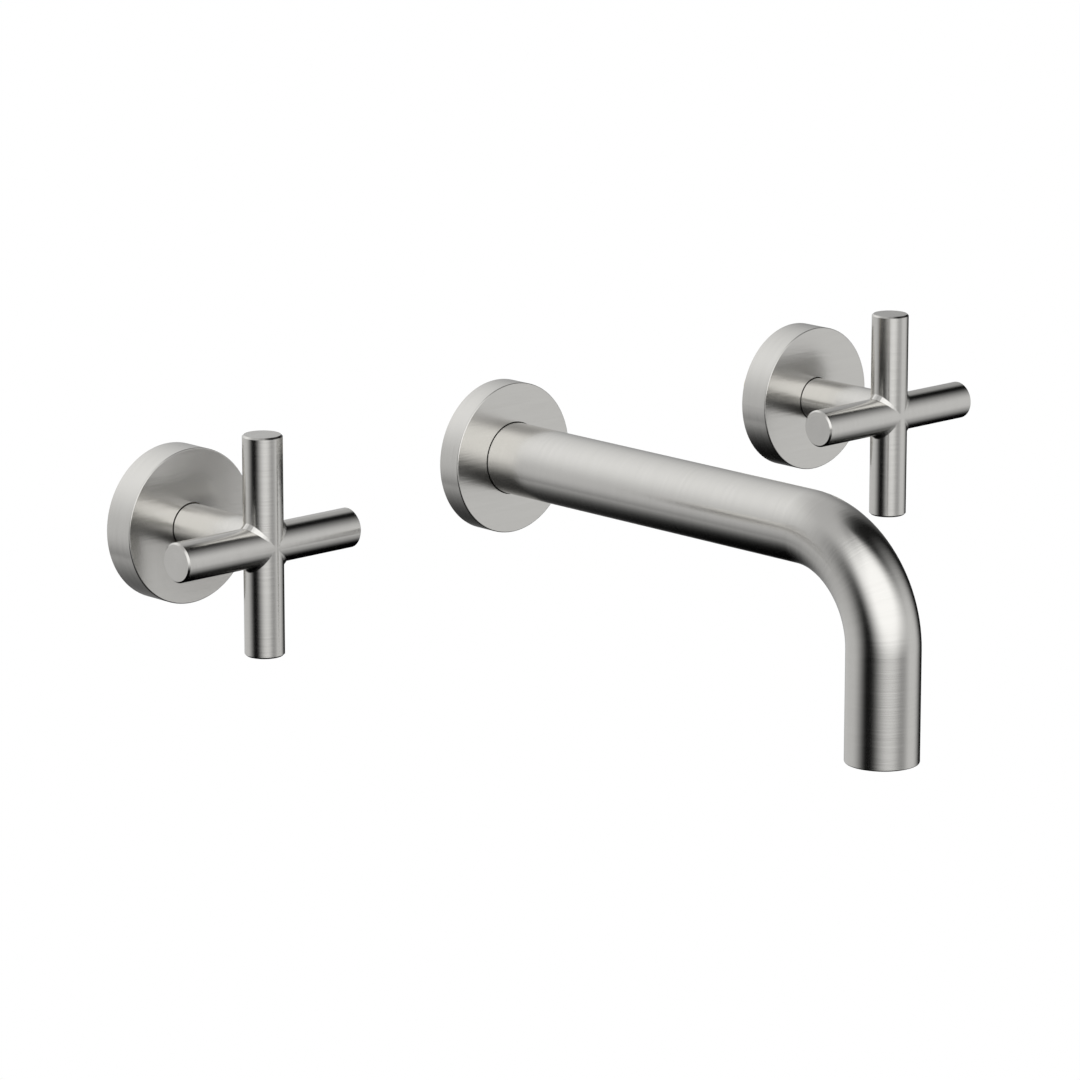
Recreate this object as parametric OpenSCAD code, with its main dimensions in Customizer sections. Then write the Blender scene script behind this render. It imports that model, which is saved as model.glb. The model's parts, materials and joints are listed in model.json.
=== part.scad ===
// Wall mounted bath faucet with two cross handles and a fixed tubular spout.
// Millimetres. X runs along the wall, Y points into it and Z is up. The origin
// is where the spout's axis meets the face of the wall.

/* [Layout] */
// From the spout's axis to each handle's axis
handle_spacing = 152.4; // [100:0.2:200]

/* [Spout] */
// Outside diameter of the spout's tube
spout_d = 25.8; // [24.8:0.1:32]
// Wall of the spout's tube
spout_wall = 2.3; // [1.8:0.1:3]
// From the wall to the middle of the outlet
spout_reach = 192.4; // [140:0.2:280]
// From the spout's axis down to the tip of the outlet
spout_drop = 75.6; // [62:0.2:120]
// Radius of the bend, measured to the middle of the tube
bend_r = 36.6; // [26:0.2:44]
// Rounding of the outlet's outer edge
tip_edge = 0.5; // [0.2:0.1:0.8]

/* [Flanges] */
// Diameter of the spout's flange
spout_flange_d = 54.5; // [50:0.5:66]
// How far the spout's flange stands off the wall
spout_flange_t = 9.2; // [8.6:0.1:14]
// Diameter of each handle's flange
handle_flange_d = 54; // [52:0.5:66]
// How far each handle's flange stands off the wall
handle_flange_t = 12; // [11.8:0.1:16]
// Thickness of the flanges' walls
flange_wall = 2.4; // [2.2:0.1:2.6]
// Rounding of the flanges' front edge
flange_edge = 0.4; // [0.2:0.1:0.8]
// Gap between a flange and the tube or post that comes through it
flange_gap = 0.3; // [0.2:0.05:0.6]

/* [Handles] */
// Length of each of the two crossing arms, end to end
arm_span = 76; // [60:0.5:100]
// Diameter of the arms
arm_d = 13.7; // [12:0.1:16]
// Bevel on the ends of the arms
arm_bevel = 0.6; // [0.2:0.1:1]
// Width of the blend in each corner between two arms
crotch_blend = 1.6; // [0.8:0.1:3]
// From the wall to the arms' axis
arm_reach = 50; // [46:0.2:80]
// Diameter of the post that carries the arms
post_d = 15.8; // [15:0.1:17]

/* [Wall connections] */
// Outside diameter of the pipe threads, G 1/2
thread_d = 20.955; // [20.4:0.005:21.2]
// Length of the thread on the spout's nipple
nipple_thread_l = 16; // [12:0.5:30]
// Length of the thread on each valve bonnet
valve_thread_l = 7; // [6.8:0.1:12]
// Waterway through the spout's nipple
nipple_bore_d = 11.6; // [9:0.1:12]
// From the spout's set screw to the end of the nipple's barrel
barrel_l = 15.3; // [14.5:0.1:30]

/* [Valve cartridges] */
// Outside diameter of the sleeve that holds the ceramic discs
sleeve_d = 18; // [17.4:0.1:19]
// Wall of that sleeve
sleeve_wall = 1.4; // [1:0.1:1.6]
// Thickness of each ceramic disc
disc_t = 2.5; // [2:0.1:4]
// Height of the side windows that let the water out
window_h = 2.6; // [2:0.1:4]
// Diameter of the turning stem
stem_d = 9.2; // [8.8:0.1:9.6]
// Outside diameter of the stem's splined tip
spline_d = 8; // [7.6:0.1:8.2]
// Number of teeth on the splined tip
spline_teeth = 20; // [12:2:28]
// Length of the splined tip
spline_l = 21; // [19:0.5:26]
// Quarter turn from shut to open, in degrees
valve_travel = 90; // [60:1:100]

/* [Aerator] */
// Outside diameter of the aerator's shell
aerator_d = 22.3; // [21.6:0.1:22.5]
// Height of the aerator's shell
aerator_h = 10; // [9:0.1:14]
// How far the aerator sits inside the outlet
aerator_recess = 1.2; // [0.4:0.1:3]
// Distance between the honeycomb's cells
cell_pitch = 2.9; // [2.4:0.1:3.6]
// Wall between the honeycomb's cells
cell_wall = 0.5; // [0.4:0.05:0.8]

/* [Hidden] */
$fn = 96;

// Colours
NICKEL = [0.66, 0.65, 0.62];
BRASS = [0.80, 0.66, 0.36];
STEEL = [0.60, 0.61, 0.62];
RUBBER = [0.09, 0.09, 0.09];
CERAMIC = [0.93, 0.91, 0.87];
ACETAL = [0.88, 0.88, 0.84];
FIBRE = [0.62, 0.22, 0.16];
GREY_PLASTIC = [0.45, 0.46, 0.47];

// Clearances
play = 0.03;          // round a piece that sits in another and stays there
running = 0.05;       // round a piece that turns in another
axial_play = 0.1;     // along the axis of a piece that turns against another
touch = 0.02;         // what a rubber ring stays short of the wall it seals on
cut = 1;              // how far a cutting shape runs past what it cuts

// Washers and gaskets
washer_t = 1.5;
gasket_w = 1.2;
gasket_t = 0.8;
thread_relief = 1;    // depth of the groove behind a pipe thread
thread_chamfer = 0.8;
thread_r = thread_d / 2;

// Flanges
cup_fillet = 1;       // inside the cup's corner
grip_r = 1;           // section radius of the rubber ring that grips a flange
grip_groove = 2.3;    // width of that ring's groove
spout_collar_h = 3;   // height of the boss behind the spout's flange
spout_collar_w = 3.4;

// Spout
tube_r = spout_d / 2;
tube_bore_r = tube_r - spout_wall;
run_l = spout_reach - bend_r;
hexagon_gap = 0.3;    // between the nipple's hexagon and the boss behind the flange
nut_t = spout_flange_t - flange_wall - spout_collar_h - hexagon_gap - washer_t;
nut_flats = 27;
washer_r = 13;
tube_start = washer_t + nut_t;
barrel_r = tube_bore_r - play;
barrel_ring_r = 1.2;  // section radius of the barrel's rubber rings
barrel_room = 0.3;    // on each side of a ring or screw in its groove
screw_seat = 1.4;     // depth of the groove that the spout's screw bears in
spout_screw_r = 2.5;
spout_screw_key = 2.5;
spout_screw_point = 0.8;
spout_screw_at = spout_flange_t + 5;
barrel_ring_at = [spout_screw_at + 7, spout_screw_at + 12];
barrel_end = spout_screw_at + barrel_l;
screw_inset = 0.3;    // how far a screw's head sits under the surface

// Outlet, measured up from its tip
aerator_r = aerator_d / 2;
seat_r = aerator_r - 1.6;
shell_wall = 1.2;
shell_lip_h = 1;
shell_lip_w = 0.9;
comb_h = 4;
jet_disc_t = 2.6;
screen_t = 0.5;
jet_r = 0.6;
jet_count = 12;
mesh_pitch = 1.9;
mesh_hole = 1.2;
key_slots = 4;
aerator_top = aerator_recess + aerator_h;
tip_l = aerator_top + washer_t + 3;

// Post and arms
arm_r = arm_d / 2;
post_r = post_d / 2;
post_start = handle_flange_t - flange_wall - 0.4;
insert_r = 5.6;
insert_start = handle_flange_t;
spline_start = insert_start - 0.2;
spline_end = spline_start + spline_l;
socket_end = spline_end + 0.5;
tooth_h = 0.4;
grub_r = 2;
grub_key = 2;
grub_point = 0.6;
grub_room = 0.5;      // on each side of the screw in its groove
grub_at = insert_start + 8;
grub_seat_r = spline_d / 2 - tooth_h - 0.3;

// Bonnet, measured outward from the wall
hex_flats = 17;
holder_thread_r = 12;
seat_flange_t = 1.5;
seat_flange_top = washer_t + seat_flange_t;
holder_base_t = 2.2;
holder_rim_h = 4;
holder_rim_w = 1.5;   // wall behind the holder's ring groove
holder_holes = 6;
holder_hole_r = 2.2;
hex_start = seat_flange_top + holder_base_t;
bonnet_top = post_start - 1;
clip_t = 0.7;
clip_r = 6;
clip_seat_r = 3.9;
clip_mouth = 70;

// Cartridge, going inward from the wall
sleeve_r = sleeve_d / 2;
pack_r = sleeve_r - sleeve_wall;
shoulder = -valve_thread_l + 1.5;
glide_t = 0.8;
glide_r = 5.7;
stop_t = 1.7;
stop_inner_r = 5.8;
lug_angle = 90;
lug_inset = 0.2;      // how far the lug and the tabs stay inside the foot's rim
end_gap = 1;          // degrees between lug and stop at each end of the travel
stop_angle = 360 - lug_angle - valve_travel - 2 * end_gap;
window_top = shoulder - glide_t - stop_t;
window_drop = 0.2;    // from the stop down to the side windows
foot_h = window_h + 2 * window_drop;
foot_hub_r = 3.2;
foot_tab = 1.2;       // how deep the foot's tabs reach into the moving disc
foot_tab_w = 3;
foot_tab_overlap = 0.8; // how far the tabs reach in over the ports
moving_top = window_top - foot_h;
fixed_top = moving_top - disc_t;
seal_top = fixed_top - disc_t;
seal_h = 2;
sleeve_end = seal_top - 1.2;
stem_r = stem_d / 2;
stem_bore_r = stem_r + running;
collar_r = 5.4;
rotor_r = pack_r - 0.4;
port_angle = 78;
port_r = rotor_r - 1.2;
port_hub_r = 1.8;
key_w = 3;            // width of the fixed disc's keys
stem_ring_seat_r = 3.2;
stem_ring_r = (stem_bore_r - touch - stem_ring_seat_r) / 2;
stem_ring_room = 0.2; // on each side of a ring in its groove
stem_ring_at = [-2.6, 2.2];

// Points along an arc about [x, y], from angle a to angle b
function arc(x, y, r, a, b, steps = 5) =
  [for (i = [0:steps]) let (t = a + (b - a) * i / steps) [x + r * cos(t), y + r * sin(t)]];

// A shape drawn with its axis along +Z is put on the wall, with +Z pointing away from it
module on_wall(x = 0) { translate([x, 0, 0]) rotate([90, 0, 0]) children(); }

// The cold side mirrors the hot side, as its valve opens the other way
module hot_side() { on_wall(-handle_spacing) children(); }
module cold_side() { mirror([1, 0, 0]) hot_side() children(); }

module at_outlet(height = 0) { translate([0, -spout_reach, height - spout_drop]) children(); }

module ring(outer, inner, from, to) {
  translate([0, 0, from]) difference() {
    cylinder(r = outer, h = to - from);
    translate([0, 0, -cut]) cylinder(r = inner, h = to - from + 2 * cut);
  }
}

module o_ring(middle_r, section_r, height) {
  translate([0, 0, height]) rotate_extrude() translate([middle_r, 0]) circle(r = section_r);
}

module hexagon(flats, height) { cylinder(d = flats / cos(30), h = height, $fn = 6); }

// A slice of a disc, centred on +X
module slice(r, angle) {
  reach = 2 * r;
  intersection() {
    circle(r = r);
    polygon(concat([[0, 0]], arc(0, 0, reach, -angle / 2, angle / 2, 8)));
  }
}

// Two slices of a disc that face each other
module slices(r, angle) {
  slice(r, angle);
  rotate(180) slice(r, angle);
}

// A cup that lies against the wall, with a rebate at the back for its gasket
module flange_cup(d, t, hole_r) {
  r = d / 2;
  inner = r - flange_wall;
  plate_back = t - flange_wall;
  rotate_extrude() polygon(concat(
    [[inner + gasket_w, 0], [r, 0]],
    arc(r - flange_edge, t - flange_edge, flange_edge, 0, 90),
    [[hole_r, t], [hole_r, plate_back]],
    arc(inner - cup_fillet, plate_back - cup_fillet, cup_fillet, 90, 0),
    [[inner, gasket_t], [inner + gasket_w, gasket_t]]
  ));
}

module cup_gasket(d) {
  inner = d / 2 - flange_wall;
  ring(inner + gasket_w - play, inner, 0, gasket_t);
}

// ---- Spout ----

// The spout's course: out from the wall, round the bend and down
module spout_course(r, from, to) {
  on_wall() translate([0, 0, from]) cylinder(r = r, h = run_l - from);
  translate([0, -run_l, -bend_r]) rotate([90, 0, -90])
    rotate_extrude(angle = 90) translate([bend_r, 0]) circle(r = r);
  at_outlet(to) cylinder(r = r, h = spout_drop - bend_r - to);
}

module outlet_end() {
  rotate_extrude() polygon(concat(
    [[aerator_r, 0]],
    arc(tube_r - tip_edge, tip_edge, tip_edge, -90, 0),
    [[tube_r, tip_l], [seat_r, tip_l], [seat_r, aerator_top + washer_t],
     [aerator_r, aerator_top + washer_t]]
  ));
}

module spout_tube() {
  color(NICKEL) {
    difference() {
      spout_course(tube_r, tube_start, tip_l);
      spout_course(tube_bore_r, tube_start - cut, tip_l - cut);
      translate([0, -spout_screw_at, -tube_r - cut]) cylinder(r = spout_screw_r, h = tube_r);
    }
    at_outlet() outlet_end();
  }
}

module spout_flange() {
  plate_back = spout_flange_t - flange_wall;
  hole_r = tube_r + flange_gap;
  color(NICKEL) on_wall() {
    flange_cup(spout_flange_d, spout_flange_t, hole_r);
    difference() {
      ring(hole_r + spout_collar_w, hole_r, plate_back - spout_collar_h, plate_back + flange_wall / 2);
      ring(tube_r + 2 * grip_r + touch, tube_r, plate_back - (spout_collar_h + grip_groove) / 2,
        plate_back - (spout_collar_h - grip_groove) / 2);
    }
  }
}

module spout_flange_o_ring() {
  color(RUBBER) on_wall()
    o_ring(tube_r + grip_r + touch / 2, grip_r - touch / 2,
      spout_flange_t - flange_wall - spout_collar_h / 2);
}

module spout_flange_gasket() { color(RUBBER) on_wall() cup_gasket(spout_flange_d); }

// The nipple screws into the wall, and its barrel carries the spout
module spout_nipple() {
  bore_r = nipple_bore_d / 2;
  color(BRASS) on_wall() difference() {
    union() {
      rotate_extrude() polygon([
        [bore_r, -nipple_thread_l], [thread_r - thread_chamfer, -nipple_thread_l],
        [thread_r, thread_chamfer - nipple_thread_l], [thread_r, 0], [thread_r - thread_relief, 0],
        [thread_r - thread_relief, washer_t], [bore_r, washer_t]
      ]);
      translate([0, 0, washer_t]) difference() {
        hexagon(nut_flats, nut_t);
        translate([0, 0, -cut]) cylinder(r = bore_r, h = nut_t + 2 * cut);
      }
      ring(barrel_r, bore_r, tube_start, barrel_end);
    }
    for (at = barrel_ring_at) barrel_groove(at, barrel_ring_r, 2 * barrel_ring_r + touch);
    barrel_groove(spout_screw_at, spout_screw_r, screw_seat);
  }
}

// A groove round the barrel for a ring or a screw of that radius
module barrel_groove(at, r, depth) {
  half = r + barrel_room;
  ring(tube_r, barrel_r + play - depth, at - half, at + half);
}

module spout_nipple_washer() { color(FIBRE) on_wall() ring(washer_r, thread_r + play, 0, washer_t); }

module spout_nipple_o_rings() {
  color(RUBBER) on_wall() for (at = barrel_ring_at)
    o_ring(tube_bore_r - touch - barrel_ring_r, barrel_ring_r - touch / 4, at);
}

// A headless screw that stands on its point, with a hexagon socket in its other end
module grub_screw(r, length, key, point) {
  difference() {
    union() {
      cylinder(r1 = r - point, r2 = r, h = point);
      translate([0, 0, point]) cylinder(r = r, h = length - point);
    }
    translate([0, 0, length / 2]) hexagon(key, length);
  }
}

module spout_set_screw() {
  seat = barrel_r + play - screw_seat + touch;
  color(STEEL) translate([0, -spout_screw_at, -seat]) rotate([180, 0, 0])
    grub_screw(spout_screw_r - play, tube_r - screw_inset - seat, spout_screw_key, spout_screw_point);
}

// ---- Aerator, from the outlet upward ----

module aerator_shell() {
  outer = aerator_r - play;
  inner = outer - shell_wall;
  slot_w = 1.6;
  color(BRASS) at_outlet(aerator_recess) difference() {
    rotate_extrude() polygon([
      [inner - shell_lip_w, 0], [outer, 0], [outer, aerator_h], [inner, aerator_h],
      [inner, shell_lip_h], [inner - shell_lip_w, shell_lip_h]
    ]);
    for (i = [0:key_slots - 1]) rotate(i * 360 / key_slots)
      translate([inner - shell_lip_w - cut, -slot_w / 2, -cut])
        cube([shell_lip_w + shell_wall + 2 * cut, slot_w, shell_lip_h / 2 + cut]);
  }
}

comb_from = aerator_recess + shell_lip_h;
jet_disc_from = comb_from + comb_h;
screen_from = jet_disc_from + jet_disc_t;
comb_r = aerator_r - shell_wall - 2 * play;
comb_open_r = comb_r - shell_lip_w - 0.2;

module aerator_honeycomb() {
  hole_r = (cell_pitch - cell_wall) / 2 / cos(30);
  rows = ceil(comb_open_r / cell_pitch * 1.3);
  color(GREY_PLASTIC) at_outlet(comb_from) linear_extrude(comb_h) difference() {
    circle(r = comb_r);
    for (i = [-rows:rows], j = [-rows:rows]) {
      x = (i + j / 2) * cell_pitch;
      y = j * cell_pitch * cos(30);
      if (norm([x, y]) + hole_r < comb_open_r)
        translate([x, y]) rotate(30) circle(r = hole_r, $fn = 6);
    }
  }
}

module aerator_jet_disc() {
  jet_ring_r = comb_open_r * 0.72;
  color(ACETAL) at_outlet(jet_disc_from) difference() {
    union() {
      cylinder(r = comb_r, h = jet_disc_t / 2);
      ring(comb_r, comb_open_r, 0, jet_disc_t);
      translate([0, 0, jet_disc_t / 2]) cylinder(r1 = comb_open_r * 0.4, r2 = jet_r, h = jet_disc_t / 3);
    }
    for (i = [0:jet_count - 1]) rotate(i * 360 / jet_count)
      translate([jet_ring_r, 0, -cut]) cylinder(r = jet_r, h = jet_disc_t + 2 * cut);
  }
}

module aerator_screen() {
  half = floor(comb_open_r / mesh_pitch);
  color(STEEL) at_outlet(screen_from) linear_extrude(screen_t) difference() {
    circle(r = comb_r);
    for (i = [-half:half], j = [-half:half])
      if (norm([i, j]) * mesh_pitch + mesh_hole < comb_open_r)
        translate([i, j] * mesh_pitch) square(mesh_hole, center = true);
  }
}

module aerator_washer() {
  color(RUBBER) at_outlet() ring(aerator_r - play, seat_r, aerator_top, aerator_top + washer_t);
}

// ---- Handle ----

// One arm along X, with both ends bevelled
module arm() {
  half = arm_span / 2;
  rotate([0, 90, 0]) rotate_extrude() polygon([
    [0, -half], [arm_r - arm_bevel, -half], [arm_r, arm_bevel - half],
    [arm_r, half - arm_bevel], [arm_r - arm_bevel, half], [0, half]
  ]);
}

// Fills the corners where the arms meet: an oval along each diagonal, a little
// wider than the oval in which the two arms cross
module crotch_fill() {
  long_r = sqrt(2) * arm_r + crotch_blend / sqrt(2);
  short_r = arm_r - touch;
  for (turn = [45, 135]) rotate([90, 0, turn]) linear_extrude(2 * crotch_blend, center = true)
    polygon([for (i = [0:47]) let (t = i * 7.5) [long_r * cos(t), short_r * sin(t)]]);
}

module handle_cross() {
  color(NICKEL) difference() {
    union() {
      translate([0, 0, post_start]) cylinder(r = post_r, h = arm_reach - post_start);
      translate([0, 0, arm_reach]) {
        arm();
        rotate(90) arm();
        crotch_fill();
      }
    }
    translate([0, 0, post_start - cut]) cylinder(r = insert_r + play, h = socket_end - post_start + cut);
    translate([0, 0, grub_at]) rotate([90, 0, 0]) cylinder(r = grub_r, h = post_r + cut);
  }
}

// The splined outline of the stem's tip, grown by a clearance
module spline_outline(grow) {
  tip_r = spline_d / 2 + grow;
  root_r = tip_r - tooth_h;
  pitch = 360 / spline_teeth;
  polygon([for (i = [0:spline_teeth - 1], step = [0:3])
    let (r = step < 2 ? tip_r : root_r, t = (i + [-0.12, 0.12, 0.38, 0.62][step]) * pitch)
    [r * cos(t), r * sin(t)]]);
}

module handle_insert() {
  color(BRASS) difference() {
    translate([0, 0, insert_start]) cylinder(r = insert_r, h = socket_end - insert_start - play);
    translate([0, 0, insert_start - cut]) linear_extrude(spline_l + 2 * cut) spline_outline(play);
    translate([0, 0, grub_at]) rotate([90, 0, 0]) cylinder(r = grub_r, h = post_r + cut);
  }
}

module handle_set_screw() {
  seat = grub_seat_r + touch;
  color(STEEL) translate([0, -seat, grub_at]) rotate([90, 0, 0])
    grub_screw(grub_r - play, post_r - screw_inset - seat, grub_key, grub_point);
}

// ---- Valve ----

module stem() {
  clip_from = bonnet_top + axial_play;
  color(BRASS) difference() {
    union() {
      translate([0, 0, spline_start]) linear_extrude(spline_l) spline_outline(0);
      translate([0, 0, window_top]) cylinder(r = stem_r, h = spline_start - window_top);
      translate([0, 0, window_top]) cylinder(r = collar_r, h = stop_t - axial_play);
      translate([0, 0, window_top]) linear_extrude(stop_t - axial_play) rotate(-valve_travel / 2)
        slice(rotor_r - lug_inset, lug_angle);
      translate([0, 0, moving_top]) linear_extrude(foot_h) slices(rotor_r, port_angle);
      translate([0, 0, moving_top]) cylinder(r = foot_hub_r, h = foot_h);
      stem_tabs(0);
    }
    for (at = stem_ring_at)
      stem_groove(stem_ring_seat_r, at - stem_ring_r - stem_ring_room, at + stem_ring_r + stem_ring_room);
    stem_groove(clip_seat_r, clip_from, clip_from + clip_t + play);
    stem_groove(grub_seat_r, grub_at - grub_r - grub_room, grub_at + grub_r + grub_room);
  }
}

module stem_groove(seat_r, from, to) { ring(stem_r + cut, seat_r, from, to); }

// The two tabs under the stem's foot that turn the moving disc
module stem_tabs(grow) {
  half_w = foot_tab_w / 2 + grow;
  inner = port_r - foot_tab_overlap - grow;
  outer = sqrt((rotor_r - lug_inset + grow) ^ 2 - half_w ^ 2);
  for (side = [0, 180]) rotate(side)
    translate([inner, -half_w, moving_top - foot_tab - grow])
      cube([outer - inner, 2 * half_w, foot_tab + 2 * grow + cut]);
}

module stem_clip() {
  from = bonnet_top + axial_play;
  color(STEEL) translate([0, 0, from]) linear_extrude(clip_t) difference() {
    circle(r = clip_r);
    circle(r = clip_seat_r + play);
    slice(clip_r + cut, clip_mouth);
  }
}

module stem_o_rings() {
  color(RUBBER) for (at = stem_ring_at)
    o_ring(stem_ring_seat_r + stem_ring_r + touch / 2, stem_ring_r - touch / 2, at);
}

module stem_glide_ring() {
  color(ACETAL) ring(glide_r, stem_bore_r, shoulder - glide_t + axial_play / 2, shoulder);
}

// The bow tie of ports in a ceramic disc
module port_outline() {
  difference() {
    slices(port_r, port_angle);
    circle(r = port_hub_r);
  }
}

module moving_disc() {
  color(CERAMIC) difference() {
    translate([0, 0, fixed_top + touch]) linear_extrude(disc_t - 2 * touch) difference() {
      circle(r = rotor_r);
      rotate(90) port_outline();
    }
    stem_tabs(play);
  }
}

module fixed_disc() {
  color(CERAMIC) translate([0, 0, seal_top]) linear_extrude(disc_t) difference() {
    union() {
      circle(r = pack_r - play);
      square([key_w - 2 * play, 2 * sleeve_r - 0.4], center = true);
    }
    port_outline();
  }
}

module seat_seal() {
  color(RUBBER) ring(pack_r - play, port_r + 0.2, seal_top - seal_h, seal_top);
}

module bonnet() {
  color(BRASS) {
    difference() {
      union() {
        rotate_extrude() polygon([
          [pack_r, sleeve_end], [sleeve_r, sleeve_end], [sleeve_r, -valve_thread_l],
          [thread_r - thread_chamfer, -valve_thread_l], [thread_r, thread_chamfer - valve_thread_l],
          [thread_r, 0], [thread_r - thread_relief, 0], [thread_r - thread_relief, washer_t],
          [washer_r, washer_t], [washer_r, seat_flange_top], [holder_thread_r, seat_flange_top],
          [holder_thread_r, hex_start], [stem_bore_r, hex_start], [stem_bore_r, shoulder],
          [pack_r, shoulder]
        ]);
        translate([0, 0, hex_start]) difference() {
          hexagon(hex_flats, bonnet_top - hex_start);
          translate([0, 0, -cut]) cylinder(r = stem_bore_r, h = bonnet_top - hex_start + 2 * cut);
        }
      }
      translate([0, 0, window_top - window_drop - window_h]) linear_extrude(window_h)
        slices(sleeve_r + cut, port_angle);
      translate([-key_w / 2, -sleeve_r - cut, sleeve_end - cut])
        cube([key_w, 2 * (sleeve_r + cut), fixed_top + touch - sleeve_end + cut]);
    }
    translate([0, 0, window_top + touch]) linear_extrude(stop_t - touch) difference() {
      rotate(180) slice(pack_r + sleeve_wall / 2, stop_angle);
      circle(r = stop_inner_r);
    }
  }
}

module bonnet_washer() { color(FIBRE) ring(washer_r, thread_r + play, 0, washer_t); }

module flange() { color(NICKEL) flange_cup(handle_flange_d, handle_flange_t, post_r + flange_gap); }

module flange_gasket() { color(RUBBER) cup_gasket(handle_flange_d); }

// Screws onto the bonnet and carries the flange on a rubber ring
cup_r = handle_flange_d / 2 - flange_wall;
holder_r = cup_r - 0.3;
holder_groove_r = cup_r - 2 * grip_r;
grip_at = seat_flange_top + holder_rim_h / 2;

module flange_holder() {
  rim_inner = holder_groove_r - holder_rim_w;
  color(ACETAL) difference() {
    union() {
      ring(holder_r, holder_thread_r + play, seat_flange_top, hex_start);
      ring(holder_r, rim_inner, seat_flange_top, seat_flange_top + holder_rim_h);
    }
    ring(holder_r + cut, holder_groove_r, grip_at - grip_groove / 2, grip_at + grip_groove / 2);
    for (i = [0:holder_holes - 1]) rotate(i * 360 / holder_holes)
      translate([(holder_thread_r + rim_inner) / 2, 0, 0]) cylinder(r = holder_hole_r, h = hex_start + cut);
  }
}

module flange_holder_o_ring() { color(RUBBER) o_ring(cup_r - grip_r, grip_r - touch, grip_at); }

// ---- Nodes ----

spout_tube();
spout_flange();
spout_flange_gasket();
spout_flange_o_ring();
spout_nipple();
spout_nipple_washer();
spout_nipple_o_rings();
spout_set_screw();
aerator_shell();
aerator_honeycomb();
aerator_jet_disc();
aerator_screen();
aerator_washer();

hot_side() handle_cross();  // hot_handle_cross
hot_side() handle_insert();  // hot_handle_insert
hot_side() handle_set_screw();  // hot_handle_set_screw
hot_side() stem();  // hot_stem
hot_side() stem_clip();  // hot_stem_clip
hot_side() stem_o_rings();  // hot_stem_o_rings
hot_side() stem_glide_ring();  // hot_stem_glide_ring
hot_side() moving_disc();  // hot_moving_disc
hot_side() fixed_disc();  // hot_fixed_disc
hot_side() seat_seal();  // hot_seat_seal
hot_side() bonnet();  // hot_bonnet
hot_side() bonnet_washer();  // hot_bonnet_washer
hot_side() flange();  // hot_flange
hot_side() flange_gasket();  // hot_flange_gasket
hot_side() flange_holder();  // hot_flange_holder
hot_side() flange_holder_o_ring();  // hot_flange_holder_o_ring

cold_side() handle_cross();  // cold_handle_cross
cold_side() handle_insert();  // cold_handle_insert
cold_side() handle_set_screw();  // cold_handle_set_screw
cold_side() stem();  // cold_stem
cold_side() stem_clip();  // cold_stem_clip
cold_side() stem_o_rings();  // cold_stem_o_rings
cold_side() stem_glide_ring();  // cold_stem_glide_ring
cold_side() moving_disc();  // cold_moving_disc
cold_side() fixed_disc();  // cold_fixed_disc
cold_side() seat_seal();  // cold_seat_seal
cold_side() bonnet();  // cold_bonnet
cold_side() bonnet_washer();  // cold_bonnet_washer
cold_side() flange();  // cold_flange
cold_side() flange_gasket();  // cold_flange_gasket
cold_side() flange_holder();  // cold_flange_holder
cold_side() flange_holder_o_ring();  // cold_flange_holder_o_ring
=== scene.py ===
"""Looks of the wall mounted bath faucet: brushed nickel trim on a plain white ground, in soft studio light.

Metres, in the CAD frame: X runs along the wall, Y points into it and Z is up.
"""
import json
import math

import bmesh
import bpy
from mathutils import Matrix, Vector


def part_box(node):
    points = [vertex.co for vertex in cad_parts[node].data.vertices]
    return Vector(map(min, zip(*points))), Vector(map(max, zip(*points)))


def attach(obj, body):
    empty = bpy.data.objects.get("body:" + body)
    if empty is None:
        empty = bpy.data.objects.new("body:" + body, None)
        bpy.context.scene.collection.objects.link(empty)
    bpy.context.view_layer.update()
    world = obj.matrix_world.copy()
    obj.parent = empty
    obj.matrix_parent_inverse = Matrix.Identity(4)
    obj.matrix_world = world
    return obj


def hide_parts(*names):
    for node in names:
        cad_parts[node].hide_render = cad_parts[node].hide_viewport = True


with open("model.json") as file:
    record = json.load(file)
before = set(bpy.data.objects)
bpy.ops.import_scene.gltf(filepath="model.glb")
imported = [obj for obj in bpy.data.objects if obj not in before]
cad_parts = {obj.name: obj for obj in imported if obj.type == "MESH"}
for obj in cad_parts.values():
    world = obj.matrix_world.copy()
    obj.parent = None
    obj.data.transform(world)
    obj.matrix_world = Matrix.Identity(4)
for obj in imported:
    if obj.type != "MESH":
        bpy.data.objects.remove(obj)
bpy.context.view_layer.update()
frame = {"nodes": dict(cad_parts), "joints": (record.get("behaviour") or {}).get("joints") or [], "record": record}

# ---- Radii in the model that its boxes don't give ----

BEND_R = 0.0366              # of the spout's middle line, round its bend
ARM_R = 0.00685              # of a handle's arms
POST_R = 0.0079              # of a handle's post


def rgb(r, g, b):
    return (r, g, b, 1.0)


# ---- Node trees ----

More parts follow.
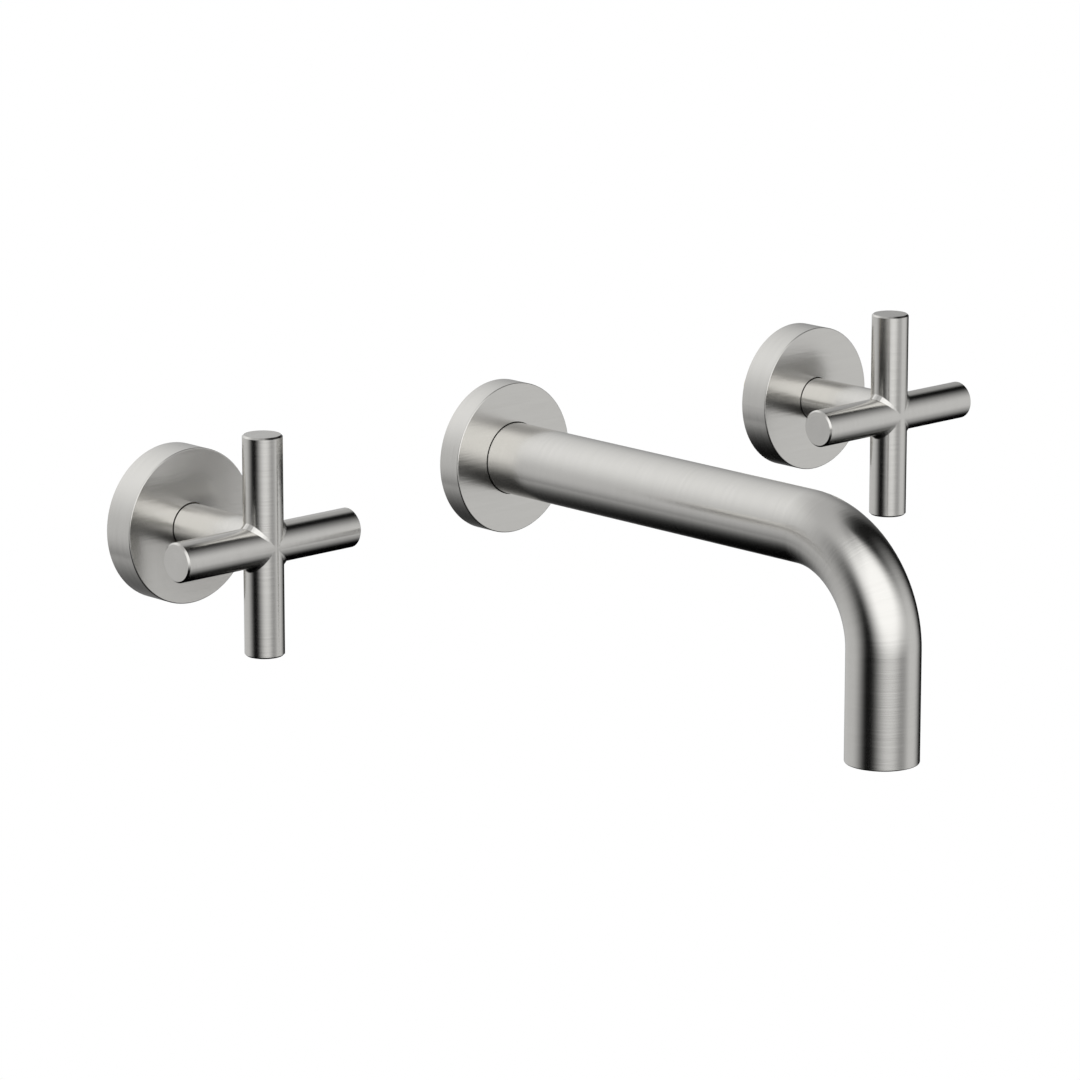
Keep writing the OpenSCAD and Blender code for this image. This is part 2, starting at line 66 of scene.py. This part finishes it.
class Graph:
    """Builds one node tree with short calls."""

    SOCKET_TYPES = {"FLOAT": "VALUE", "VECTOR": "VECTOR", "RGBA": "RGBA"}

    def __init__(self, tree):
        tree.nodes.clear()
        self.tree = tree

    def node(self, kind, **settings):
        made = self.tree.nodes.new("ShaderNode" + kind)
        for name, value in settings.items():
            setattr(made, name, value)
        return made

    def put(self, socket, value):
        """Links a socket into another, or sets it to a plain value. None leaves it as it is."""
        if isinstance(value, bpy.types.NodeSocket):
            self.tree.links.new(value, socket)
        elif value is not None:
            socket.default_value = value

    def math(self, operation, a, b=None):
        made = self.node("Math", operation=operation)
        for socket, value in zip(made.inputs, (a, b)):
            self.put(socket, value)
        return made.outputs[0]

    def total(self, *values):
        result = values[0]
        for value in values[1:]:
            result = self.math("ADD", result, value)
        return result

    def product(self, *values):
        result = values[0]
        for value in values[1:]:
            result = self.math("MULTIPLY", result, value)
        return result

    def vector(self, operation, a, b=None):
        made = self.node("VectorMath", operation=operation)
        self.put(made.inputs[0], a)
        self.put(made.inputs[1], b)
        return made.outputs["Value" if operation in ("DOT_PRODUCT", "LENGTH") else "Vector"]

    def scaled(self, vector, factor):
        made = self.node("VectorMath", operation="SCALE")
        self.put(made.inputs[0], vector)
        self.put(made.inputs["Scale"], factor)
        return made.outputs[0]

    def joined(self, x, y, z):
        made = self.node("CombineXYZ")
        for socket, value in zip(made.inputs, (x, y, z)):
            self.put(socket, value)
        return made.outputs[0]

    def parts(self, vector):
        made = self.node("SeparateXYZ")
        self.put(made.inputs[0], vector)
        return made.outputs

    def ramp(self, value, low, high, start=0.0, end=1.0, smooth=True):
        """start below low, end above high, and a smooth or straight change between them."""
        made = self.node("MapRange", interpolation_type="SMOOTHSTEP" if smooth else "LINEAR")
        for name, given in (("Value", value), ("From Min", low), ("From Max", high),
                            ("To Min", start), ("To Max", end)):
            self.put(made.inputs[name], given)
        return made.outputs[0]

    def mixed(self, kind, factor, a, b):
        """a where the factor is 0 and b where it is 1: FLOAT numbers, VECTOR vectors or RGBA colours."""
        made = self.node("Mix", data_type=kind)

        def own(sockets, name):
            return next(s for s in sockets if s.name == name and s.type == self.SOCKET_TYPES[kind])

        self.put(made.inputs["Factor"], factor)
        self.put(own(made.inputs, "A"), a)
        self.put(own(made.inputs, "B"), b)
        return own(made.outputs, "Result")

    def mix(self, factor, a, b):
        return self.mixed("FLOAT", factor, a, b)

    def pick(self, factor, a, b):
        return self.mixed("VECTOR", factor, a, b)

    def colour(self, factor, a, b):
        return self.mixed("RGBA", factor, a, b)

    def noise(self, vector, scale=1.0, detail=2.0, roughness=0.5):
        made = self.node("TexNoise")
        self.put(made.inputs["Vector"], vector)
        self.put(made.inputs["Scale"], scale)
        self.put(made.inputs["Detail"], detail)
        self.put(made.inputs["Roughness"], roughness)
        return made.outputs[0]

    def bump(self, height, distance, normal=None):
        made = self.node("Bump")
        self.put(made.inputs["Height"], height)
        self.put(made.inputs["Distance"], distance)
        self.put(made.inputs["Normal"], normal)
        return made.outputs[0]

    def to_world(self, vector, kind):
        made = self.node("VectorTransform", vector_type=kind, convert_from="OBJECT", convert_to="WORLD")
        self.put(made.inputs[0], vector)
        return made.outputs[0]

    def position(self):
        """The place on the object, which turns with it."""
        return self.node("TexCoord").outputs["Object"]

    def facing(self):
        """The way the mesh's surface faces, which turns with it too."""
        return self.node("TexCoord").outputs["Normal"]


def new_material(name):
    material = bpy.data.materials.new(name)
    material.use_nodes = True
    graph = Graph(material.node_tree)
    shader = graph.node("BsdfPrincipled")
    output = graph.node("OutputMaterial")
    graph.put(output.inputs["Surface"], shader.outputs[0])
    return material, graph, shader


def assign(node, material):
    mesh = frame["nodes"][node].data
    mesh.materials.clear()
    mesh.materials.append(material)


# ---- Brushed nickel ----

NICKEL_LIGHT = rgb(0.705, 0.695, 0.670)
NICKEL_DARK = rgb(0.685, 0.675, 0.650)
NICKEL_ROUGHNESS = 0.20
NICKEL_ROUGHNESS_SPREAD = 0.02
NICKEL_ANISOTROPY = 0.35
MICROMETRE = 0.000001
FINE_LINES = 1700            # brush lines per metre of course
BROAD_LINES = 450
FINE_DEPTH = 13.0            # micrometres
BROAD_DEPTH = 25.0
BROAD_SHARE = 0.45           # of the broad lines in the tone
LINE_TURNS = 45              # how soon a line changes along its length, per metre
LINE_SLANTS = (0.7, -0.5)    # the shares of y that are added to x, and to z, for that change
LINE_DETAIL = 3.0
LINE_NOISE_ROUGHNESS = 0.6
TONE_LOW, TONE_HIGH = 0.3, 0.7               # the noise that gives the darkest and the lightest colour
ROUGHNESS_LOW, ROUGHNESS_HIGH = 0.25, 0.75   # and the roughest and the smoothest surface

SAME_WAY = 0.9965            # cosine of how far a facet's normal may be off the round wall's
OUTLET_LEAN = 0.3            # keeps a way across the lines on the tube's end, which faces along the tube
FLANGE_FACE = 0.7            # the share of Y in a flange's normal above which it is the face, not the rim
POST_MARGIN = 1.02           # the post's lines reach this share of its radius
POST_START = 0.3             # and start this share of an arm's radius behind the arms' middle
POST_LEAN = 0.01             # keeps a way across the lines where the surface faces along the post


def finish_nickel(graph, shader, position, along, course, normal=None):
    """Satin metal whose brush lines run round the piece: along is the way across the lines,
    and course is the distance that way. normal is the mesh's own where it isn't given."""
    x, y, z = graph.parts(position)
    with_x, with_z = (graph.product(graph.total(part, graph.product(y, slant)), LINE_TURNS)
                      for part, slant in zip((x, z), LINE_SLANTS))

    def lines(count):
        return graph.noise(graph.joined(graph.product(course, count), with_x, with_z),
                           detail=LINE_DETAIL, roughness=LINE_NOISE_ROUGHNESS)

    fine, broad = lines(FINE_LINES), lines(BROAD_LINES)
    tone = graph.mix(BROAD_SHARE, fine, broad)
    height = graph.total(graph.product(fine, FINE_DEPTH), graph.product(broad, BROAD_DEPTH))
    colour = graph.colour(graph.ramp(tone, TONE_LOW, TONE_HIGH), NICKEL_DARK, NICKEL_LIGHT)
    roughness = graph.ramp(tone, ROUGHNESS_LOW, ROUGHNESS_HIGH, NICKEL_ROUGHNESS + NICKEL_ROUGHNESS_SPREAD,
                           NICKEL_ROUGHNESS - NICKEL_ROUGHNESS_SPREAD, smooth=False)
    graph.put(shader.inputs["Base Color"], colour)
    graph.put(shader.inputs["Roughness"], roughness)
    graph.put(shader.inputs["Metallic"], 1.0)
    graph.put(shader.inputs["Anisotropic"], NICKEL_ANISOTROPY)
    graph.put(shader.inputs["Tangent"], graph.to_world(along, "VECTOR"))
    graph.put(shader.inputs["Normal"], graph.bump(height, MICROMETRE, normal))


def nickel_tube():
    """The spout's tube: the lines run round it, along its run, its bend and its drop."""
    material, graph, shader = new_material("nickel_spout_tube")
    low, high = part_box("spout_tube")
    radius = high.x
    bend_y = low.y + radius + BEND_R         # where the run ends and the bend starts
    position = graph.position()
    x, y, z = graph.parts(position)
    # How far a point is past the bend's start and above its end. Together they turn round the bend's middle.
    past = graph.math("MAXIMUM", graph.total(graph.product(y, -1.0), bend_y), 0.0)
    above = graph.math("MAXIMUM", graph.total(z, BEND_R), 0.0)
    along = graph.joined(graph.product(x, OUTLET_LEAN), graph.product(above, -1.0), graph.product(past, -1.0))

    run = graph.math("MAXIMUM", graph.total(y, -bend_y), 0.0)
    fall = graph.math("MAXIMUM", graph.total(graph.product(z, -1.0), -BEND_R), 0.0)
    turn = graph.math("ARCTAN2", past, above)
    course = graph.total(graph.product(run, -1.0), graph.product(turn, BEND_R), fall)

    # The way out from the tube's middle line
    to_middle = graph.math("DIVIDE", BEND_R, graph.vector("LENGTH", graph.joined(0.0, past, above)))
    share = graph.math("SUBTRACT", 1.0, to_middle)
    outward = graph.vector("NORMALIZE", graph.joined(x, graph.product(past, share, -1.0),
                                                     graph.product(above, share)))
    finish_nickel(graph, shader, position, along, course, true_normal(graph, outward))
    return material


def true_normal(graph, outward):
    """The normal of a round wall, given the way out from its middle line. The mesh has small facets with
    a crease along their seam, which this smooths. Faces that look another way keep the mesh's normal."""
    own = graph.facing()
    likeness = graph.vector("DOT_PRODUCT", own, outward)
    is_round = graph.math("GREATER_THAN", graph.math("ABSOLUTE", likeness), SAME_WAY)
    smooth = graph.scaled(outward, graph.math("SIGN", likeness))
    return graph.to_world(graph.pick(is_round, own, smooth), "NORMAL")


def nickel_flange():
    """The flanges: level lines on their faces, and lines round their rims."""
    material, graph, shader = new_material("nickel_flange")
    position = graph.position()
    _, y, z = graph.parts(position)
    is_face = graph.math("GREATER_THAN", graph.math("ABSOLUTE", graph.parts(graph.facing())[1]), FLANGE_FACE)
    along = graph.pick(is_face, (0.0, 1.0, 0.0), (0.0, 0.0, 1.0))
    finish_nickel(graph, shader, position, along, graph.mix(is_face, y, z))
    return material


def nickel_cross(name, node, x0):
    """A handle: the lines run round each arm and round the post, and the arms' ends have rings."""
    material, graph, shader = new_material(name)
    arm_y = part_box(node)[0].y + ARM_R
    position = graph.position()
    x, y, z = graph.parts(position)
    dx, dy = graph.total(x, -x0), graph.total(y, -arm_y)

    def arm(length, other, build):
        """The way along an arm, and the distance, from its length and its two cross coordinates."""
        side = graph.math("SIGN", length)
        across = graph.joined(*build(0.0, dy, other))
        inward = graph.joined(*build(side, 0.0, 0.0))
        along = graph.vector("SUBTRACT", graph.vector("NORMALIZE", across), inward)
        return along, graph.total(graph.math("ABSOLUTE", length), graph.vector("LENGTH", across))

    level, level_course = arm(dx, z, lambda a, b, c: (a, b, c))
    upright, upright_course = arm(z, dx, lambda a, b, c: (c, b, a))
    is_upright = graph.math("GREATER_THAN", graph.math("ABSOLUTE", z), graph.math("ABSOLUTE", dx))
    off_axis = graph.vector("LENGTH", graph.joined(dx, 0.0, z))
    is_post = graph.math("MULTIPLY", graph.math("LESS_THAN", off_axis, POST_R * POST_MARGIN),
                         graph.math("GREATER_THAN", dy, ARM_R * POST_START))
    along = graph.pick(is_upright, level, upright)
    along = graph.pick(is_post, along, graph.joined(graph.product(dx, POST_LEAN), 1.0, 0.0))
    course = graph.mix(is_post, graph.mix(is_upright, level_course, upright_course), y)
    finish_nickel(graph, shader, position, along, course)
    return material


# ---- Finishes of the pieces behind and inside the trim ----

BRASS = dict(light=rgb(0.83, 0.68, 0.40), dark=rgb(0.72, 0.56, 0.30), roughness=0.28, metallic=1.0,
             depth=20)
PLAIN_FINISHES = {
    "steel": dict(light=rgb(0.62, 0.63, 0.64), dark=rgb(0.52, 0.53, 0.54), roughness=0.32, metallic=1.0),
    "rubber": dict(light=rgb(0.045, 0.045, 0.045), dark=rgb(0.025, 0.025, 0.025), roughness=0.62, depth=30),
    "ceramic": dict(light=rgb(0.93, 0.91, 0.87), dark=rgb(0.88, 0.86, 0.82), roughness=0.22),
    "acetal": dict(light=rgb(0.86, 0.86, 0.82), dark=rgb(0.80, 0.80, 0.76), roughness=0.45),
    "fibre": dict(light=rgb(0.58, 0.20, 0.13), dark=rgb(0.42, 0.12, 0.08), roughness=0.70, grain=2600,
                  depth=40),
    "grey_plastic": dict(light=rgb(0.47, 0.48, 0.49), dark=rgb(0.40, 0.41, 0.42), roughness=0.5),
}
PLAIN_SPREAD = 0.05          # how far roughness strays from its middle
GRAIN_DETAIL = 3.0
RING_FINENESS = 3            # turned rings for each grain
CLOUD_SCALE = 90.0           # broad patches, per metre
CLOUD_SHARE = 0.35


def plain_finish(name, light, dark, roughness, metallic=0.0, grain=900, depth=10, lathe=None):
    """A finish with fine grain in its colour, roughness and surface: grain is its count per metre and depth
    is in micrometres. lathe gives the x of an axis along Y, round which turned metal has its rings."""
    material, graph, shader = new_material(name)
    position = graph.position()
    if lathe is None:
        fine = graph.noise(position, scale=grain, detail=GRAIN_DETAIL)
    else:
        x, y, z = graph.parts(position)
        off_axis = graph.vector("LENGTH", graph.joined(graph.total(x, -lathe), 0.0, z))
        course = graph.product(graph.total(off_axis, y), grain * RING_FINENESS)
        fine = graph.noise(graph.joined(course, 0.0, 0.0))
    tone = graph.mix(CLOUD_SHARE, fine, graph.noise(position, scale=CLOUD_SCALE))
    graph.put(shader.inputs["Base Color"], graph.colour(graph.ramp(tone, TONE_LOW, TONE_HIGH), dark, light))
    graph.put(shader.inputs["Roughness"], graph.ramp(tone, TONE_LOW, TONE_HIGH, roughness + PLAIN_SPREAD,
                                                     roughness - PLAIN_SPREAD))
    graph.put(shader.inputs["Metallic"], metallic)
    graph.put(shader.inputs["Normal"], graph.bump(tone, depth * MICROMETRE))
    return material


# ---- Pipe threads, G 1/2 ----

THREAD_R = 0.0104775
THREAD_PITCH = 0.0254 / 14
THREAD_DEPTH = 0.00098
THREAD_ROOT = 0.00042        # width of the flat at the bottom of the groove
THREAD_HALF_ANGLE = 27.5     # degrees
THREAD_START = -0.0006       # in the relief behind the thread
THREAD_BEYOND = 0.0012       # how far the cutter goes past the thread's end
CUTTER_BEYOND = 0.00025      # and past its outside
TURN_SIDES = 64
VALVE_THREAD = 0.007         # length of the thread on each valve bonnet
SAME_POINT = 1e-7            # points closer than this are one
SHARP_ANGLE = 30             # degrees between faces from which their edge is sharp


def new_object(name, mesh):
    made = bpy.data.objects.new(name, mesh)
    bpy.context.scene.collection.objects.link(made)
    return made


def tidy_mesh(mesh):
    """Joins doubled points, drops faces with no size and turns all faces outward."""
    work = bmesh.new()
    work.from_mesh(mesh)
    bmesh.ops.remove_doubles(work, verts=work.verts, dist=SAME_POINT)
    bmesh.ops.dissolve_degenerate(work, edges=work.edges, dist=SAME_POINT)
    bmesh.ops.recalc_face_normals(work, faces=work.faces)
    work.to_mesh(mesh)
    work.free()


def thread_cutter(x0, length):
    """A helical bar whose section is the groove between two turns, round the axis at x0 along Y."""
    root, outside = THREAD_R - THREAD_DEPTH, THREAD_R + CUTTER_BEYOND
    half_root = THREAD_ROOT / 2
    half_outside = half_root + (outside - root) * math.tan(math.radians(THREAD_HALF_ANGLE))
    section = ((root, -half_root), (outside, -half_outside), (outside, half_outside), (root, half_root))
    corners = len(section)
    steps = math.ceil((length + THREAD_BEYOND - THREAD_START) / THREAD_PITCH * TURN_SIDES)
    points, faces = [], []
    for i in range(steps + 1):
        angle = 2 * math.pi * i / TURN_SIDES
        at = THREAD_START + THREAD_PITCH * i / TURN_SIDES
        points += [(x0 + r * math.cos(angle), at + off, r * math.sin(angle)) for r, off in section]
    for i in range(steps):
        here, there = corners * i, corners * (i + 1)
        for k in range(corners):
            beside = (k + 1) % corners
            faces.append((here + k, here + beside, there + beside, there + k))
    faces += [tuple(reversed(range(corners))), tuple(corners * steps + k for k in range(corners))]
    mesh = bpy.data.meshes.new("thread_cutter")
    mesh.from_pydata(points, [], faces)
    tidy_mesh(mesh)
    return new_object("thread_cutter", mesh)


def cut_thread(node, x0, length, material):
    """Stands for a brass node, with a real thread in place of its plain cylinder."""
    mesh = frame["nodes"][node].data.copy()
    tidy_mesh(mesh)
    blank, cutter = new_object("thread_blank", mesh), thread_cutter(x0, length)
    cut = blank.modifiers.new("thread", "BOOLEAN")
    cut.operation, cut.solver, cut.object = "DIFFERENCE", "EXACT", cutter
    made = bpy.data.meshes.new_from_object(blank.evaluated_get(bpy.context.evaluated_depsgraph_get()))
    for temporary in (blank, cutter):
        bpy.data.objects.remove(temporary)
    tidy_mesh(made)
    made.materials.clear()
    made.materials.append(material)
    made.polygons.foreach_set("use_smooth", [True] * len(made.polygons))
    made.set_sharp_from_angle(angle=math.radians(SHARP_ANGLE))
    piece = new_object(node + "_threaded", made)
    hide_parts(node)
    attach(piece, "fixed")


# ---- Floor, and the card under the faucet ----

FLOOR_Z = -0.89
FLOOR_R = 1.45
FLOOR_COLOUR = rgb(0.86, 0.86, 0.86)
FLOOR_GLOW = 0.465           # what the light on the floor lacks to white
DISC_SIDES = 96

CARD_Z = -0.88
CARD_R = 1.50
CARD_TURN = 109.0            # the way across its black strip, in degrees from X
CARD_MIDDLE = 0.17           # where the strip is, that way
CARD_BLACK = 0.46            # its half width
CARD_FADE = 0.87             # how far it takes to fade to its grey border
CARD_BORDER = 0.45
CARD_NEAR_LEFT = 0.07        # the near border's grey at its left end
CARD_NEAR_FROM = -0.3        # along the strip, where the near border starts to get lighter
CARD_NEAR_FULL = 0.6         # and where it has its full grey


def stage_disc(name, radius, height):
    """A flat round stage piece."""
    mesh = bpy.data.meshes.new(name)
    angles = [2 * math.pi * i / DISC_SIDES for i in range(DISC_SIDES)]
    points = [(radius * math.cos(angle), radius * math.sin(angle), height) for angle in angles]
    mesh.from_pydata(points, [], [list(range(DISC_SIDES))])
    made = new_object(name, mesh)
    return made


def stage_graph(name, disc):
    """The empty node tree of a stage piece's new material, whose glow is never sampled as a lamp's."""
    material = bpy.data.materials.new(name)
    material.use_nodes = True
    material.cycles.emission_sampling = "NONE"
    disc.data.materials.append(material)
    return Graph(material.node_tree)


def make_floor():
    """A pale floor. What it shows is topped up to white for the camera and for what metal and glass show,
    so that it keeps its shadow and adds no light to the faucet."""
    graph = stage_graph("floor_white", stage_disc("floor", FLOOR_R, FLOOR_Z))
    path = graph.node("LightPath").outputs
    seen = graph.math("MINIMUM", graph.total(path["Is Camera Ray"], path["Is Glossy Ray"],
                                             path["Is Transmission Ray"]), 1.0)
    diffuse = graph.node("BsdfDiffuse")
    graph.put(diffuse.inputs["Color"], FLOOR_COLOUR)
    glow = graph.node("Emission")
    graph.put(glow.inputs["Strength"], graph.product(seen, FLOOR_GLOW))
    both = graph.node("AddShader")
    graph.put(both.inputs[0], diffuse.outputs[0])
    graph.put(both.inputs[1], glow.outputs[0])
    graph.put(graph.node("OutputMaterial").inputs["Surface"], both.outputs[0])


def make_card():
    """A card under the faucet that only its metal shows, as in the photograph: a black strip that fades
    to grey on both sides, and stays darker on the near left."""
    card = stage_disc("card_under", CARD_R, CARD_Z)
    card.visible_camera = card.visible_diffuse = card.visible_shadow = card.visible_transmission = False
    graph = stage_graph("card_dark", card)
    turn = math.radians(CARD_TURN)
    position = graph.position()
    way_across, way_along = (math.cos(turn), math.sin(turn), 0.0), (math.sin(turn), -math.cos(turn), 0.0)
    across = graph.total(graph.vector("DOT_PRODUCT", position, way_across), -CARD_MIDDLE)
    along = graph.vector("DOT_PRODUCT", position, way_along)
    near_border = graph.ramp(along, CARD_NEAR_FROM, CARD_NEAR_FULL, CARD_NEAR_LEFT, CARD_BORDER)
    border = graph.mix(graph.math("LESS_THAN", across, 0.0), CARD_BORDER, near_border)
    past_strip = graph.total(graph.math("ABSOLUTE", across), -CARD_BLACK)
    grey = graph.node("Emission")
    graph.put(grey.inputs["Strength"], graph.product(graph.ramp(past_strip, 0.0, CARD_FADE), border))
    graph.put(graph.node("OutputMaterial").inputs["Surface"], grey.outputs[0])


# ---- Lights ----

# The soft lights. Azimuth 0 is straight in front of the wall and 90 is towards +X, in degrees. Each has its
# middle, its half width, its half height above and below the middle, its strength, and the shares of its
# half sizes at which it starts and ends fading.
KEY_LIGHT = dict(azimuth=-25, elevation=28.7, wide=53.5, above=47.2, below=50.3,
                 strength=1.37, core=0.47, edge=1.35)
BACKDROP = dict(azimuth=-171, elevation=1.2, wide=66, above=56.7, below=38.1,
                strength=0.64, core=0.52, edge=1.21)
SIDE_LIGHT = dict(azimuth=52.3, elevation=-7.8, wide=35.2, above=47.9, below=34.6,
                  strength=0.70, core=0.27, edge=1.46)

CEILING_STRENGTH = 0.55
CEILING_FROM, CEILING_FULL = -4, 52          # elevations between which it gets its strength
CEILING_END_AZIMUTH = 22.5                   # the way towards which it ends
CEILING_START, CEILING_END = -0.16, 0.18     # cosines of the angle to that way, between which it fades out


def way(azimuth):
    """The level direction at an azimuth."""
    angle = math.radians(azimuth)
    return (math.sin(angle), -math.cos(angle), 0.0)


def degrees_up(graph, direction):
    """A direction's elevation in degrees."""
    return graph.math("DEGREES", graph.math("ARCSINE", graph.parts(direction)[2]))


def soft_light(graph, direction, azimuth, elevation, wide, above, below, strength, core, edge):
    """An oval light that fades smoothly towards its edge, as its strength seen in a direction."""
    across = graph.vector("DOT_PRODUCT", direction, way(azimuth + 90))
    ahead = graph.vector("DOT_PRODUCT", direction, way(azimuth))
    side = graph.math("DEGREES", graph.math("ARCTAN2", across, ahead))
    rise = graph.total(degrees_up(graph, direction), -elevation)
    height = graph.mix(graph.math("GREATER_THAN", rise, 0.0), below, above)
    off = graph.vector("LENGTH", graph.joined(graph.math("DIVIDE", side, wide),
                                              graph.math("DIVIDE", rise, height), 0.0))
    return graph.product(graph.ramp(off, core, edge, 1.0, 0.0), strength)


def ceiling_light(graph, direction):
    """A pale ceiling that ends towards one side, as its strength seen in a direction."""
    towards_end = graph.vector("DOT_PRODUCT", direction, way(CEILING_END_AZIMUTH))
    return graph.product(graph.ramp(degrees_up(graph, direction), CEILING_FROM, CEILING_FULL),
                         graph.ramp(towards_end, CEILING_START, CEILING_END, 1.0, 0.0), CEILING_STRENGTH)


def make_world():
    """White for the camera and through glass. Metal shows the lights and the dark between them, as in the
    photograph, because all white it would lose its form."""
    world = bpy.data.worlds.new("studio")
    world.use_nodes = True
    bpy.context.scene.world = world
    graph = Graph(world.node_tree)
    direction = graph.vector("NORMALIZE", graph.node("TexCoord").outputs["Generated"])
    lights = [soft_light(graph, direction, **light) for light in (KEY_LIGHT, BACKDROP, SIDE_LIGHT)]
    lit = graph.total(*lights, ceiling_light(graph, direction))
    path = graph.node("LightPath").outputs
    strength = graph.mix(graph.total(path["Is Camera Ray"], path["Is Transmission Ray"]), lit, 1.0)
    background = graph.node("Background")
    graph.put(background.inputs["Color"], rgb(1.0, 1.0, 1.0))
    graph.put(background.inputs["Strength"], strength)
    graph.put(graph.node("OutputWorld").inputs["Surface"], background.outputs[0])


# ---- Camera, at the photograph's viewing angle ----

CAMERA_AZIMUTH = -43.133     # degrees, as for the lights
CAMERA_ELEVATION = 13.455
CAMERA_DISTANCE = 2.0187
CAMERA_AIM = Vector((0.00654, -0.01604, -0.03022))
CAMERA_LENS = 186.93         # mm
CAMERA_SENSOR = 36.0         # mm wide


def make_camera():
    camera = bpy.data.objects.new("camera", bpy.data.cameras.new("camera"))
    bpy.context.scene.collection.objects.link(camera)
    camera.data.sensor_width = CAMERA_SENSOR
    camera.data.lens = CAMERA_LENS
    azimuth, elevation = math.radians(CAMERA_AZIMUTH), math.radians(CAMERA_ELEVATION)
    back = Vector((math.sin(azimuth) * math.cos(elevation), -math.cos(azimuth) * math.cos(elevation),
                   math.sin(elevation)))
    camera.location = CAMERA_AIM + back * CAMERA_DISTANCE
    camera.rotation_mode = "QUATERNION"
    camera.rotation_quaternion = (-back).to_track_quat("-Z", "Y")
    bpy.context.scene.camera = camera


# ---- Everything together ----

def main():
    make_camera()
    make_world()
    make_floor()
    make_card()
    bpy.context.scene.view_settings.view_transform = "Standard"

    joints = {joint["name"]: joint for joint in frame["joints"]}
    spacing = joints["cold_handle_turn"]["pos_m"][0]
    axes = {"hot": -spacing, "cold": spacing, "spout": 0.0}

    assign("spout_tube", nickel_tube())
    flange = nickel_flange()
    assign("spout_flange", flange)
    for side in ("hot", "cold"):
        cross = side + "_handle_cross"
        assign(side + "_flange", flange)
        assign(cross, nickel_cross("nickel_" + side + "_cross", cross, axes[side]))

    brass = {side: plain_finish("brass_" + side, lathe=x, **BRASS) for side, x in axes.items()}
    plain = {slot: plain_finish(slot, **finish) for slot, finish in PLAIN_FINISHES.items()}
    for sub_part in frame["record"]["subparts"]:
        node, slot = sub_part["node"], sub_part["material_slot"]
        if slot == "brass":
            assign(node, brass.get(node.split("_")[0], brass["spout"]))
        elif slot in plain:
            assign(node, plain[slot])

    cut_thread("spout_nipple", axes["spout"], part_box("spout_nipple")[1].y, brass["spout"])
    cut_thread("hot_bonnet", axes["hot"], VALVE_THREAD, brass["hot"])
    cut_thread("cold_bonnet", axes["cold"], VALVE_THREAD, brass["cold"])


main()
